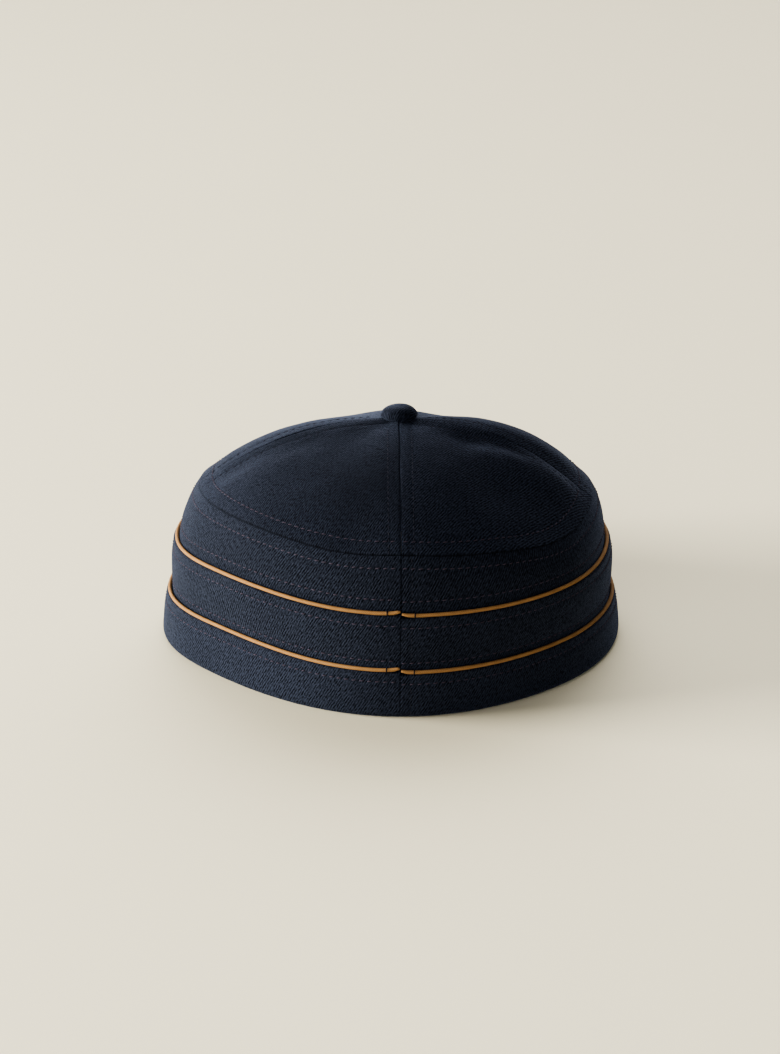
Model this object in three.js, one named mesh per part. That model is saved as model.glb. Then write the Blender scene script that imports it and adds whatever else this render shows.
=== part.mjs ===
// Painter cap: a soft four-panel cloth cap with two piped bands, a covered button and a short peak.
// Millimetres, +Z up. The peak points to -Y and the wearer's left is +X.
// The cap stands on the hem of its lower band, with the origin at the bottom centre of the whole cap.
import * as THREE from "three";

// Cloth and clearances
const WALL_CLOTH = 1.4;
const BAND_CLOTH = 2.0;
const TIP_CLOTH = 1.4;
const SEAM_GAP = 0.3;
const PIPING_RADIUS = 0.8;

// Detail of the faceted surfaces
const COLUMNS = 80;
const PIPING_SIDES = 8;
const PANEL_COLUMNS = 12;
const PANEL_ROWS = 9;
const BUTTON_SIDES = 24;

// How the soft cap stands. Each row is a level: by how much the reach to the back and to the front passes the
// reach to the side, how much is taken off the plan on the back and front diagonals (pinch), how far the back
// leans out on the wearer's right and in on the left (skew), and how far the level has slid to the wearer's
// left (lean).
const STANCE = [
  { height: 0, back: 1.0, front: 3.0, backPinch: 4.2, frontPinch: 2.0, skew: 2.6, lean: -0.2 },
  { height: 19, back: 2.4, front: 1.0, backPinch: 4.4, frontPinch: 2.5, skew: 3.8, lean: -0.4 },
  { height: 42, back: 3.2, front: -2.0, backPinch: 0.9, frontPinch: 3.0, skew: 3.1, lean: -0.8 },
  { height: 64, back: 3.0, front: -7.0, backPinch: 0.1, frontPinch: 3.5, skew: 2.6, lean: -1.2 },
];
// How the levels rise: how far the front is held off the floor by the peak or slumps down (lift), and how far
// the slack cloth stands up on the wearer's left back diagonal (heave)
const RISE = [
  { height: 0, lift: 9.5, heave: 0 },
  { height: 19, lift: 8.0, heave: 1.2 },
  { height: 42, lift: 4.0, heave: 2.8 },
  { height: 64, lift: -4.0, heave: 4.0 },
];
const SKEW_FADE = { from: 50, to: 98 }; // bearings between which the skew dies away towards the front
const LIFT_SPAN = 90; // bearing from the centre front where the hem comes down to the floor
const HEAVE = { at: 315, span: 45 }; // bearing where the slack cloth stands up most, and how far that goes
const BACK_SEAM = 2.2; // bearing of the back seam, a little to the wearer's right of the centre back
const SEAM_STEP = { size: 0.5, fade: 14, above: 10 }; // right of the back seam the bands sit lower than left
// Where the top edge of the crown wall sags or, below zero, stands up: at which bearing, how far round it goes,
// how deep it is and how far the edge is drawn in there
const RIM_SAGS = [
  { at: 2, spread: 11, depth: -1.2, draw: 0 },
  { at: 52, spread: 20, depth: 4.2, draw: 0 },
  { at: 275, spread: 45, depth: 2.0, draw: 0 },
  { at: 275, spread: 30, depth: -3.4, draw: 2.5 },
];
const RIM_SAG_FROM = 44; // level above which the crown wall follows them

// Outer faces of the strips, from their lower edge up: height of each row and its reach to the side
const LOWER_BAND = [
  { height: 0.0, side: 93.7 },
  { height: 1.6, side: 94.0 },
  { height: 7.0, side: 93.8 },
  { height: 13.0, side: 93.2 },
  { height: 18.0, side: 92.3 },
];
const UPPER_BAND = [
  { height: 10.0, side: 90.0 },
  { height: 19.0, side: 90.0 },
  { height: 28.0, side: 90.4 },
  { height: 35.0, side: 90.3 },
  { height: 40.7, side: 89.5 },
];
const CROWN_WALL = [
  { height: 33.0, side: 87.2 },
  { height: 44.5, side: 86.8 },
  { height: 49.5, side: 86.2 },
  { height: 54.5, side: 85.0 },
  { height: 59.0, side: 83.4 },
  { height: 63.0, side: 81.1 },
];

// Piping cords, each lying on the top edge of a band against the cloth above it
const LOWER_PIPING_HEIGHT = 19.1;
const UPPER_PIPING_HEIGHT = 41.8;
const PIPING_END = { rise: 0.3, run: 3.0, gap: 0.5 }; // each end turns up into the back seam

// Tip of the crown: four panels that meet under the button
const APEX = { x: -3.7, y: 0, z: 91.1 };
const TIP_RIM = { inset: 1.25, rise: 1.0 }; // edge of the tip against the outer top edge of the crown wall
const TIP_HOLE = 0.02; // share of the radius left open under the button
const TIP_STEP = 0.01; // share of the radius over which the slope of the tip is taken
const DOME_POWER = { back: 2.1, left: 2.5, right: 3.1, front: 1.8 };
const SIDE_SEAMS = { right: 80, left: 274 }; // bearings of the seams that run from the apex to the sides
const PANELS = [
  { name: "tip_back_right", from: BACK_SEAM, to: SIDE_SEAMS.right, sag: 2.2 },
  { name: "tip_front_right", from: SIDE_SEAMS.right, to: 180, sag: 3.0 },
  { name: "tip_front_left", from: 180, to: SIDE_SEAMS.left, sag: 1.8 },
  { name: "tip_back_left", from: SIDE_SEAMS.left, to: 360 + BACK_SEAM, sag: 2.2 },
];
// Soft hollows in the tip: a line in plan from one point to another, its depth and how far it spreads
const HOLLOW_FADE = { inner: 0.35, outer: 0.9 }; // shares of the radius between which they are fully deep
const HOLLOWS = [
  { fromX: -28, fromY: 14, toX: -70, toY: 11, depth: 2.2, spread: 6 },
  { fromX: 34, fromY: 13, toX: 68, toY: 14, depth: 1.2, spread: 8 },
  { fromX: -44, fromY: 46, toX: -58, toY: 40, depth: 1.6, spread: 13 },
];

// Covered button
const BUTTON_RADIUS = 7.4;
const BUTTON_NECK = { radius: 5.0, height: 0.7 }; // short neck that holds the button off the panels
const BUTTON_EDGE = 0.9; // height of the widest part above the underside
const BUTTON_CROWN = 3.4; // height of the dome above the widest part
const BUTTON_STEP = 15; // degrees between the rings of its dome

// Peak, sewn under the hem of the lower band
const PEAK_SPAN = 54; // bearing from the centre front to each corner
const PEAK_DEPTH = 46;
const PEAK_TAPER = 1.15; // how quickly the depth falls off towards the corners
const PEAK_CORNER = 2.5; // depth left at the corners
const PEAK_CLOTH = 2.6;
const PEAK_TUCK = 1.4; // how far the root goes in under the hem
const PEAK_EDGE_ARCH = 4.5; // underside of the front edge above the floor, at the centre front
const PEAK_COLUMNS = 28;
const PEAK_ROWS = 6;

const degrees = THREE.MathUtils.degToRad;
const { lerp, smoothstep } = THREE.MathUtils;

// Value of a column of a table of rows at a height, on the straight line between its two rows
function column(rows, name, height) {
  const last = rows.length - 2;
  const found = rows.findIndex((row, i) => i === last || height < rows[i + 1].height);
  const [low, high] = [rows[found], rows[found + 1]];
  const share = THREE.MathUtils.clamp((height - low.height) / (high.height - low.height), 0, 1);
  return lerp(low[name], high[name], share);
}

// Bearings run from the centre back round by the wearer's right, in degrees. This is how far one is from
// another, to the wearer's right or, below zero, to the left.
function apart(bearing, from) {
  return THREE.MathUtils.euclideanModulo(bearing - from + 180, 360) - 180;
}
const fromFront = (bearing) => Math.abs(apart(bearing, 180));
const fromSeam = (bearing) => apart(bearing, BACK_SEAM);

// Share of a rise that is left this far from its middle, none of it beyond its span
const swell = (away, span) => (away < span ? Math.cos(degrees((90 * away) / span)) ** 2 : 0);

// How far a level of the crown wall sags ("depth") or is drawn in ("draw") at a bearing
function rimShift(name, bearing, height) {
  const top = smoothstep(height, RIM_SAG_FROM, CROWN_WALL.at(-1).height);
  return RIM_SAGS.reduce((sum, sag) => {
    return sum + top * sag[name] * Math.exp(-((apart(bearing, sag.at) / sag.spread) ** 2));
  }, 0);
}

// Distance from the cap's axis to a level that reaches side millimetres to the side
function reach(bearing, height, side) {
  const turn = degrees(bearing);
  const towardsBack = Math.cos(turn) > 0;
  const gain = column(STANCE, towardsBack ? "back" : "front", height);
  const pinch = column(STANCE, towardsBack ? "backPinch" : "frontPinch", height);
  const fade = 1 - smoothstep(180 - fromFront(bearing), SKEW_FADE.from, SKEW_FADE.to);
  return (
    side +
    (gain * (1 + Math.cos(2 * turn))) / 2 -
    (pinch * (1 - Math.cos(4 * turn))) / 2 +
    column(STANCE, "skew", height) * Math.sin(2 * turn) * fade
  );
}

// Height above the floor of a level at a bearing
function standing(bearing, height) {
  const lifted = swell(fromFront(bearing), LIFT_SPAN);
  const heaved = swell(Math.abs(apart(bearing, HEAVE.at)), HEAVE.span);
  const away = fromSeam(bearing);
  const low = Math.min(1, height / SEAM_STEP.above);
  const top = smoothstep(height, RIM_SAG_FROM, CROWN_WALL.at(-1).height);
  const step = -Math.sign(away) * SEAM_STEP.size * Math.exp(-Math.abs(away) / SEAM_STEP.fade) * low;
  return (
    height +
    column(RISE, "lift", height) * lifted +
    column(RISE, "heave", height) * heaved +
    step * (1 - top) -
    rimShift("depth", bearing, height)
  );
}

// Point of the cap at a bearing, on a level that reaches side millimetres to the side
function capPoint(bearing, height, side, inwards = 0) {
  const turn = degrees(bearing);
  const distance = reach(bearing, height, side) - inwards - rimShift("draw", bearing, height);
  return new THREE.Vector3(
    column(STANCE, "lean", height) - distance * Math.sin(turn),
    distance * Math.cos(turn),
    standing(bearing, height),
  );
}

// Closed sheet of cloth between an outer and an inner face. Rows run from the lower or outer edge towards the
// apex, and columns with the bearing, so that the outer face looks out.
function clothSheet(rows, columns, outerAt, innerAt) {
  const points = [];
  for (const faceAt of [outerAt, innerAt])
    for (let i = 0; i < rows; i++) for (let j = 0; j < columns; j++) points.push(faceAt(i, j));
  const outer = (i, j) => i * columns + j;
  const inner = (i, j) => rows * columns + outer(i, j);
  const triangles = [];
  const quad = (a, b, c, d) => triangles.push(a, b, c, a, c, d);
  for (let i = 0; i + 1 < rows; i++)
    for (let j = 0; j + 1 < columns; j++) {
      quad(outer(i, j), outer(i, j + 1), outer(i + 1, j + 1), outer(i + 1, j));
      quad(inner(i, j), inner(i + 1, j), inner(i + 1, j + 1), inner(i, j + 1));
    }
  for (let j = 0; j + 1 < columns; j++) {
    quad(outer(0, j), inner(0, j), inner(0, j + 1), outer(0, j + 1));
    quad(outer(rows - 1, j), outer(rows - 1, j + 1), inner(rows - 1, j + 1), inner(rows - 1, j));
  }
  for (let i = 0; i + 1 < rows; i++) {
    quad(outer(i, 0), outer(i + 1, 0), inner(i + 1, 0), inner(i, 0));
    quad(outer(i, columns - 1), inner(i, columns - 1), inner(i + 1, columns - 1), outer(i + 1, columns - 1));
  }
  return new THREE.BufferGeometry().setFromPoints(points).setIndex(triangles);
}

// Bearings of the columns of a piece that runs right round from one side of the back seam to the other
function roundBearings(gap, side) {
  const start = THREE.MathUtils.radToDeg(gap / 2 / side);
  return Array.from({ length: COLUMNS + 1 }, (_, j) => BACK_SEAM + lerp(start, 360 - start, j / COLUMNS));
}

// Strip of cloth round the cap, with its two ends at the back seam
function strip(rows, cloth) {
  const bearings = roundBearings(SEAM_GAP, rows[0].side);
  const face = (inwards) => (i, j) => capPoint(bearings[j], rows[i].height, rows[i].side, inwards);
  return clothSheet(rows.length, bearings.length, face(0), face(cloth));
}

// Piping cord round the cap, lying on a band and against the outer face of the cloth above it
function piping(height, clothAbove) {
  const side = column(clothAbove, "side", height) + SEAM_GAP + PIPING_RADIUS;
  const route = roundBearings(PIPING_END.gap, side).map((bearing) => {
    const point = capPoint(bearing, height, side);
    const away = side * degrees(Math.abs(fromSeam(bearing))) - PIPING_END.gap / 2;
    point.z += PIPING_END.rise * Math.exp(-((away / PIPING_END.run) ** 2));
    return point;
  });
  const section = new THREE.Shape();
  section.absarc(0, 0, PIPING_RADIUS, 0, 2 * Math.PI);
  return new THREE.ExtrudeGeometry(section, {
    steps: COLUMNS,
    curveSegments: PIPING_SIDES / 2,
    extrudePath: new THREE.CatmullRomCurve3(route),
  });
}

// Depth of the soft hollows of the tip at a point in plan
function hollowAt(x, y) {
  const place = new THREE.Vector3(x, y, 0);
  const nearest = new THREE.Vector3();
  return HOLLOWS.reduce((sum, { fromX, fromY, toX, toY, depth, spread }) => {
    const line = new THREE.Line3(new THREE.Vector3(fromX, fromY, 0), new THREE.Vector3(toX, toY, 0));
    const distance = line.closestPointToPoint(place, true, nearest).distanceTo(place);
    return sum + depth * Math.exp(-((distance / spread) ** 2));
  }, 0);
}

// Outer face of the tip at a bearing and at a share of the way from the apex to the rim
function tipPoint(bearing, share, sag) {
  const top = CROWN_WALL.at(-1);
  const rim = capPoint(bearing, top.height, top.side, TIP_RIM.inset);
  rim.z += TIP_RIM.rise;
  const alongBack = Math.cos(degrees(bearing));
  const end = alongBack > 0 ? DOME_POWER.back : DOME_POWER.front;
  const side = fromSeam(bearing) > 0 ? DOME_POWER.right : DOME_POWER.left;
  const power = lerp(side, end, alongBack ** 2);
  const x = lerp(APEX.x, rim.x, share);
  const y = lerp(APEX.y, rim.y, share);
  const dome = lerp(APEX.z, rim.z, share ** power);
  const slack = sag * Math.sin(degrees(2 * bearing)) ** 2 * Math.sin(Math.PI * share);
  const fade = smoothstep(share, 0, HOLLOW_FADE.inner) * (1 - smoothstep(share, HOLLOW_FADE.outer, 1));
  return new THREE.Vector3(x, y, dome - slack - hollowAt(x, y) * fade);
}

// One panel of the tip, held back from its neighbours by half the seam gap on each side
function tipPanel({ from, to, sag }) {
  const rim = CROWN_WALL.at(-1).side;
  const place = (i, j) => {
    const share = lerp(1, TIP_HOLE, i / (PANEL_ROWS - 1));
    const held = THREE.MathUtils.radToDeg(SEAM_GAP / 2 / (rim * share));
    return { bearing: lerp(from + held, to - held, j / (PANEL_COLUMNS - 1)), share };
  };
  const outer = (i, j) => tipPoint(place(i, j).bearing, place(i, j).share, sag);
  // The inner face lies under the outer one, square to its slope along the bearing
  const inner = (i, j) => {
    const { bearing, share } = place(i, j);
    const point = tipPoint(bearing, share, sag);
    const slope = tipPoint(bearing, share + TIP_STEP, sag).sub(tipPoint(bearing, share - TIP_STEP, sag));
    const run = Math.hypot(slope.x, slope.y);
    const down = new THREE.Vector3((slope.x / run) * slope.z, (slope.y / run) * slope.z, -run);
    return point.add(down.setLength(TIP_CLOTH));
  };
  return clothSheet(PANEL_ROWS, PANEL_COLUMNS, outer, inner);
}

// Covered button: a low dome with a rounded edge on a short neck, just clear of the panels under it
function button() {
  const widest = BUTTON_NECK.height + BUTTON_EDGE;
  const profile = [
    new THREE.Vector2(0, 0),
    new THREE.Vector2(BUTTON_NECK.radius, 0),
    new THREE.Vector2(BUTTON_NECK.radius, BUTTON_NECK.height),
    new THREE.Vector2(BUTTON_RADIUS - BUTTON_EDGE / 2, BUTTON_NECK.height),
  ];
  for (let turn = 0; turn <= 90; turn += BUTTON_STEP)
    profile.push(
      new THREE.Vector2(
        turn === 90 ? 0 : BUTTON_RADIUS * Math.cos(degrees(turn)),
        widest + BUTTON_CROWN * Math.sin(degrees(turn)),
      ),
    );
  return new THREE.LatheGeometry(profile, BUTTON_SIDES).rotateX(Math.PI / 2);
}

// Peak: a stiff crescent that comes out from under the hem and arches to the floor at its corners
function peak() {
  const hem = LOWER_BAND[0];
  const face = (below) => (i, j) => {
    const bearing = lerp(180 - PEAK_SPAN, 180 + PEAK_SPAN, j / (PEAK_COLUMNS - 1));
    const out = 1 - i / (PEAK_ROWS - 1);
    const across = (bearing - 180) / PEAK_SPAN;
    const depth = PEAK_CORNER + PEAK_TUCK + (PEAK_DEPTH - PEAK_CORNER) * (1 - across ** 2) ** PEAK_TAPER;
    const point = capPoint(bearing, hem.height, hem.side, PEAK_TUCK - depth * out);
    const root = point.z - SEAM_GAP - PEAK_CLOTH;
    const edge = PEAK_EDGE_ARCH * (1 - across ** 2);
    point.z = lerp(root, edge, out) + PEAK_CLOTH - below;
    return point;
  };
  return clothSheet(PEAK_ROWS, PEAK_COLUMNS, face(0), face(PEAK_CLOTH));
}

const NAVY_TWILL = new THREE.MeshStandardMaterial({ color: "#1c222e", roughness: 0.9, metalness: 0 });
const TAN_PIPING = new THREE.MeshStandardMaterial({ color: "#b3793a", roughness: 0.6, metalness: 0 });

const cap = new THREE.Group();
function add(name, geometry, material) {
  const mesh = new THREE.Mesh(geometry, material);
  mesh.name = name;
  cap.add(mesh);
  return mesh;
}

add("lower_band", strip(LOWER_BAND, BAND_CLOTH), NAVY_TWILL);
add("lower_piping", piping(LOWER_PIPING_HEIGHT, UPPER_BAND), TAN_PIPING);
add("upper_band", strip(UPPER_BAND, BAND_CLOTH), NAVY_TWILL);
add("upper_piping", piping(UPPER_PIPING_HEIGHT, CROWN_WALL), TAN_PIPING);
add("crown_wall", strip(CROWN_WALL, WALL_CLOTH), NAVY_TWILL);
for (const panel of PANELS) add(panel.name, tipPanel(panel), NAVY_TWILL);
add("button", button(), NAVY_TWILL).position.set(APEX.x, APEX.y, APEX.z + SEAM_GAP);
add("peak", peak(), NAVY_TWILL);

// The origin goes to the bottom centre of the whole cap
const part = new THREE.Group();
part.add(cap);
const box = new THREE.Box3().setFromObject(part);
const middle = box.getCenter(new THREE.Vector3());
cap.position.set(-middle.x, -middle.y, -box.min.z);

export default part;
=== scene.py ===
"""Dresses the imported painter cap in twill, piping and stitching, and stands it on a pale studio floor."""

import math

import bpy
import numpy as np
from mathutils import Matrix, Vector, noise
from mathutils.bvhtree import BVHTree


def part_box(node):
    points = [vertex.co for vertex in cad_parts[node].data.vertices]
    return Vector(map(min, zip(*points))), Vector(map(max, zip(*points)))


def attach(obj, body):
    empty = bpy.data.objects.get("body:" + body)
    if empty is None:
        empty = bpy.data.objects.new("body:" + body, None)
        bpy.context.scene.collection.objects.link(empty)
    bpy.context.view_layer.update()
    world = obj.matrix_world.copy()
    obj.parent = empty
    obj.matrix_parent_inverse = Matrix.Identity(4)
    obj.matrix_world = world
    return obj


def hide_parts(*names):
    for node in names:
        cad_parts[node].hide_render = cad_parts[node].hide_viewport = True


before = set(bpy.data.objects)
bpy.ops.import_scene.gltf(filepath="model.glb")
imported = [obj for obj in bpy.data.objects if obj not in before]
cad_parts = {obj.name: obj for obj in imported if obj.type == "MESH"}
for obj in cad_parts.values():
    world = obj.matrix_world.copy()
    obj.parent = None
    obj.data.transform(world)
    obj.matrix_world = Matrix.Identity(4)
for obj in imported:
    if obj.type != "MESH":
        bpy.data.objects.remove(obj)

bl_info = {
    "name": "Painter cap",
    "version": (1, 0, 0),
    "blender": (4, 5, 0),
    "location": "3D View > Sidebar > Cap",
    "description": "Builds a soft navy cap with piped bands, topstitching and a covered button",
    "category": "Object",
}

MM = 0.001
BODY = "root"

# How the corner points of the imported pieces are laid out
STRIP_COLUMNS = 81
PIPING_SIDES = 8
PEAK_COLUMNS = 28
TIP_ROWS = 9
TIP_COLUMNS = 12
TIP_HOLE = 0.02  # share of the radius left open under the button
TIP_READ = {"rim": 0.997, "apex": 0.03}  # shares of the radius between which the panels are read
TIP_HELD = 0.2  # degrees at the rim by which the panels are read inside their seams

# Bearings of the tip's seams from the centre back, round by the wearer's right, in degrees
BACK_SEAM = 2.2
SIDE_SEAMS = {"right": 80.0, "left": 274.0}
TIP_PANELS = {
    "tip_back_right": (BACK_SEAM, SIDE_SEAMS["right"]),
    "tip_front_right": (SIDE_SEAMS["right"], 180.0),
    "tip_front_left": (180.0, SIDE_SEAMS["left"]),
    "tip_back_left": (SIDE_SEAMS["left"], 360.0 + BACK_SEAM),
}

# Lines of topstitching on each strip: the edge they follow and how far from it they run, in millimetres
STRIP_LINES = {
    "lower_band": [("top", 3.4)],
    "upper_band": [("top", 3.4), ("bottom", 12.4)],
    "crown_wall": [("bottom", 13.2), ("top", 5.4)],
}
# How far each strip is drawn out past its upper edge, how much of its foot is hidden behind the band below,
# and how much painted light lightens its cloth
STRIP_REACH = {
    "lower_band": {"top": 0.3, "hidden": 0.0, "painted_level": 0.52},
    "upper_band": {"top": 0.3, "hidden": 8.0, "painted_level": 0.25},
    "crown_wall": {"top": -0.4, "hidden": 9.0, "painted_level": 0.06},
}
# How much each panel of the tip is lightened (above zero) or darkened (below zero) by painted light and shade,
# towards the apex and at the rim
TIP_PAINTED_LEVEL = {
    "tip_back_right": (0.1, 0.25),
    "tip_front_right": (0.3, 0.3),
    "tip_front_left": (0.12, 0.12),
    "tip_back_left": (-0.5, 0.12),
}
TIP_PAINTED_FROM = 0.6  # share of the way to the rim where the painted light and shade starts to change

# First numbers of the random draws and of the unevenness
SEEDS = {"strips": 1, "tip": 11, "tip_stitches": 20, "tip_seam_stitches": 21, "peak": 31, "peak_stitches": 32}


def amount(name, default, description, **kind):
    """A number property."""
    return bpy.props.FloatProperty(name=name, description=description, default=default, **kind)


def length(name, default, description):
    """A size property, given in millimetres and kept in metres."""
    return amount(name, default * MM, description, unit="LENGTH", precision=5)


def place(name, default, description):
    """A point property, in metres."""
    return bpy.props.FloatVectorProperty(
        name=name, description=description, default=default, subtype="XYZ", unit="LENGTH"
    )


def colour(name, default, description):
    """A colour property."""
    return bpy.props.FloatVectorProperty(
        name=name, description=description, default=default, size=3, subtype="COLOR", min=0.0, max=1.0
    )


class CapCloth(bpy.types.PropertyGroup):
    """Sizes of the cloth."""

    step: length("Mesh step", 0.85, "Spacing of the points on the cloth")
    soft: length("Softness", 0.42, "Height of the slow unevenness of the cloth")
    soft_span: length("Softness span", 30.0, "Length of the slow unevenness")
    ripple: length("Ripple", 0.10, "Height of the small unevenness of the cloth")
    ripple_span: length("Ripple span", 8.0, "Length of the small unevenness")
    roll: length("Edge roll", 0.7, "Radius of the rounded edges")
    hem_roll: length("Hem roll", 1.6, "Radius of the folded hem")
    seam_depth: length("Seam depth", 0.35, "How far the cloth dips into a seam")
    seam_width: length("Seam width", 0.36, "Half width of the dip at a seam")
    # Painted shade: the dark line along each seam stands in for the shade in its crease.
    crease: length("Crease", 0.32, "Half width of the dark line at a seam")
    seam_ease: length("Seam ease", 16.0, "Distance from the rim over which the side seams lose their dip")
    seam_lap: length("Seam lap", 0.25, "How far a strip's ends go past the packed ones to close the seam")
    tuck: length("Tuck", 0.5, "How far the hidden foot of a strip is drawn in")
    rim_inset: length("Rim inset", 1.25, "Edge of the tip inside the top edge of the wall")
    rim_reach: length("Rim reach", 1.75, "How far the tip is drawn out past its edge to meet the wall")
    rib_pitch: length("Rib pitch", 0.95, "Spacing of the diagonal ribs of the twill")
    slub: amount("Slub", 0.36, "Thickness of a yarn's uneven places as a share of their length")
    rib_slope: amount("Rib slope", math.radians(58.0), "Slope of the diagonal ribs", subtype="ANGLE")


class CapStitch(bpy.types.PropertyGroup):
    """Sizes of the topstitching."""

    length: length("Length", 2.15, "Length of a stitch")
    pitch: length("Pitch", 3.1, "Distance from one stitch to the next")
    radius: length("Thread radius", 0.24, "Half the thickness of the thread")
    seam_radius: length("Seam thread radius", 0.13, "Half the thickness of the thread beside the seams")
    groove: length("Groove", 0.26, "How far the thread pulls the cloth in")
    groove_width: length("Groove width", 1.0, "Half width of the groove")
    slant: length("Slant", 0.16, "How far a stitch leans across its line")
    seam_away: length("From a seam", 4.8, "Distance of the topstitching from the seams of the tip")
    back_away: length("From the back seam", 4.5, "Distance of the strips' topstitching from the back seam")
    rim_away: length("From the rim", 5.5, "Distance of the topstitching from the rim of the tip")
    tack_away: length("Tack", 5.2, "Distance of the tacks over the piping from the back seam")


class CapColours(bpy.types.PropertyGroup):
    """Colours of the cap and its floor."""

    navy_dark: colour("Navy shade", (0.0021, 0.0026, 0.0042), "Twill between its ribs")
    navy_light: colour("Navy", (0.0285, 0.0343, 0.0505), "Twill on its ribs")
    nap: colour("Nap", (0.50, 0.60, 0.85), "Short fibres seen at a low angle")
    tan_dark: colour("Tan shade", (0.126, 0.070, 0.031), "Piping in its weave")
    tan_light: colour("Tan", (0.316, 0.183, 0.080), "Piping")
    thread: colour("Thread", (0.0480, 0.0385, 0.0530), "Topstitching of the bands, the wall and the rim")
    seam_thread: colour("Seam thread", (0.0240, 0.0250, 0.0350), "Topstitching beside the seams")
    floor: colour("Floor", (0.815, 0.763, 0.572), "Studio floor")


class CapStage(bpy.types.PropertyGroup):
    """Camera and light."""

    eye: place("Camera", (0.00022, 1.33654, 0.53000), "Place of the camera")
    aim: place("Aim", (0.00022, 0.02354, 0.04408), "Point that the camera looks at")
    lens: amount("Lens", 116.63, "Focal length on a 36 mm film", unit="CAMERA")
    lamp: amount("Lamp", 242.0, "Power of the low lamp on the left of the picture", unit="POWER")
    lamp_place: place("Lamp place", (2.6, 0.1, 0.42), "Place of the lamp")
    near: amount("Near light", 4.6, "Strength of the room light from the camera's side")
    far: amount("Far light", 7.0, "Strength of the room light from behind the cap")


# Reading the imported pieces


def corners(node):
    """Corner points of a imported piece, each once."""
    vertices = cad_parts[node].data.vertices
    flat = np.empty(len(vertices) * 3)
    vertices.foreach_get("co", flat)
    return np.unique(flat.reshape(-1, 3).round(7), axis=0)


def middle(node):
    """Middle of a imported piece."""
    low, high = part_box(node)
    return (np.array(low) + np.array(high)) / 2


CENTRE = middle("lower_band")
APEX = middle("button")


def reach(points):
    """Distance in plan from the centre of the hem."""
    return np.hypot(points[..., 0] - CENTRE[0], points[..., 1] - CENTRE[1])


def ring(points, per_column):
    """Points of a ring in columns: those left of the back seam, the two at it, and those right of it."""
    half_column = math.pi / (STRIP_COLUMNS - 1)
    turn = np.arctan2(CENTRE[0] - points[:, 0], points[:, 1] - CENTRE[1]) - math.radians(BACK_SEAM)
    turn = (turn - half_column + math.pi) % math.tau - math.pi + half_column
    points = points[np.argsort(turn)]
    before = np.count_nonzero(turn < -half_column) // per_column
    left = points[: before * per_column].reshape(before, per_column, 3)
    seam = points[before * per_column : (before + 2) * per_column]
    right = points[(before + 2) * per_column :].reshape(-1, per_column, 3)
    return left, seam, right


def strip_controls(node):
    """Outer and inner corner points of a strip, from the right of the back seam round to its left."""
    points = corners(node)
    rows = len(points) // (2 * STRIP_COLUMNS)
    left, seam, right = ring(points, 2 * rows)

    def faces(column):
        pairs = column[np.argsort(column[:, 2])].reshape(rows, 2, 3)
        order = np.argsort(reach(pairs), axis=1)
        return np.take_along_axis(pairs, order[:, :, None], axis=1)[:, ::-1]

    fours = seam[np.argsort(seam[:, 2])].reshape(rows, 4, 3)
    fours = np.take_along_axis(fours, np.argsort(fours[:, :, 0], axis=1)[:, :, None], axis=1)
    ends = [faces(fours[:, :2].reshape(-1, 3)), faces(fours[:, 2:].reshape(-1, 3))]
    columns = np.array([ends[0], *map(faces, right), *map(faces, left), ends[1]])
    return columns[:, :, 0], columns[:, :, 1]


def smooth(control, knots, places):
    """Smooth curve through the control values at the knots, read at the places."""
    control = np.asarray(control, float)
    gaps = np.diff(knots)
    shape = (-1,) + (1,) * (control.ndim - 1)
    slopes = np.diff(control, axis=0) / gaps.reshape(shape)
    tangents = np.empty_like(control)
    tangents[0], tangents[-1] = slopes[0], slopes[-1]
    weight = (gaps[:-1] / (gaps[:-1] + gaps[1:])).reshape(shape)
    tangents[1:-1] = slopes[:-1] * (1 - weight) + slopes[1:] * weight
    i = np.clip(np.searchsorted(knots, places, side="right") - 1, 0, len(knots) - 2)
    gap = gaps[i].reshape(shape)
    t = ((places - knots[i]) / gaps[i]).reshape(shape)
    ahead = t * t * (3 - 2 * t)
    return (
        control[i] * (1 - ahead)
        + control[i + 1] * ahead
        + tangents[i] * gap * t * (1 - t) ** 2
        - tangents[i + 1] * gap * t * t * (1 - t)
    )


def smooth_grid(control, across_knots, across, up_knots, up):
    """Smooth grid through a grid of control points, by column and by row."""
    wide = smooth(control, across_knots, across)
    return np.swapaxes(smooth(np.swapaxes(wide, 0, 1), up_knots, up), 0, 1)


def run_length(points):
    """Distance along a row of points, from its first."""
    return np.concatenate([[0.0], np.cumsum(np.linalg.norm(np.diff(points, axis=0), axis=1))])


# Making cloth


NOISE_SHIFT = Vector((3.1, 1.7, 0.9))  # how far the unevenness moves on from one piece to the next
SHARP_EDGE = math.radians(60)
BESIDE_EDGE = np.array([0.15, 0.3, 0.5, 0.75])  # steps from an edge where the mesh has more points


def grid_normals(points):
    """Outward normals of a grid of points: rows go up and columns go round by the wearer's right."""
    across = np.gradient(points, axis=0)
    up = np.gradient(points, axis=1)
    normals = np.cross(across, up)
    return normals / np.linalg.norm(normals, axis=2, keepdims=True)


def unevenness(points, cloth, seed):
    """Slow and small unevenness of soft cloth at each point."""
    shift = NOISE_SHIFT * seed
    heights = []
    for point in map(Vector, points.reshape(-1, 3).tolist()):
        slow = noise.noise(point / cloth.soft_span + shift)
        small = noise.noise(point / cloth.ripple_span - shift)
        heights.append(cloth.soft * slow + cloth.ripple * small)
    return np.array(heights).reshape(points.shape[:2])


def creased(away, width):
    """Bell-shaped falloff beside a seam: the shape of its dip, and how dark the painted shade along its crease
    is.
    """
    return np.exp(-((away / width) ** 2))


def dip(away, depth, width):
    """Round-bottomed dip of a seam or a line of stitching."""
    return -depth * creased(away, width)


def rolled(away, radius):
    """Rounding of an edge."""
    inside = np.clip(1 - away / radius, 0, 1)
    return -radius * (1 - np.sqrt(1 - inside**2))


def quads(a, b, c, d):
    """Four-sided faces from the numbers of their corners."""
    return np.stack([a, b, c, d], axis=-1).reshape(-1, 4)


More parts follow.
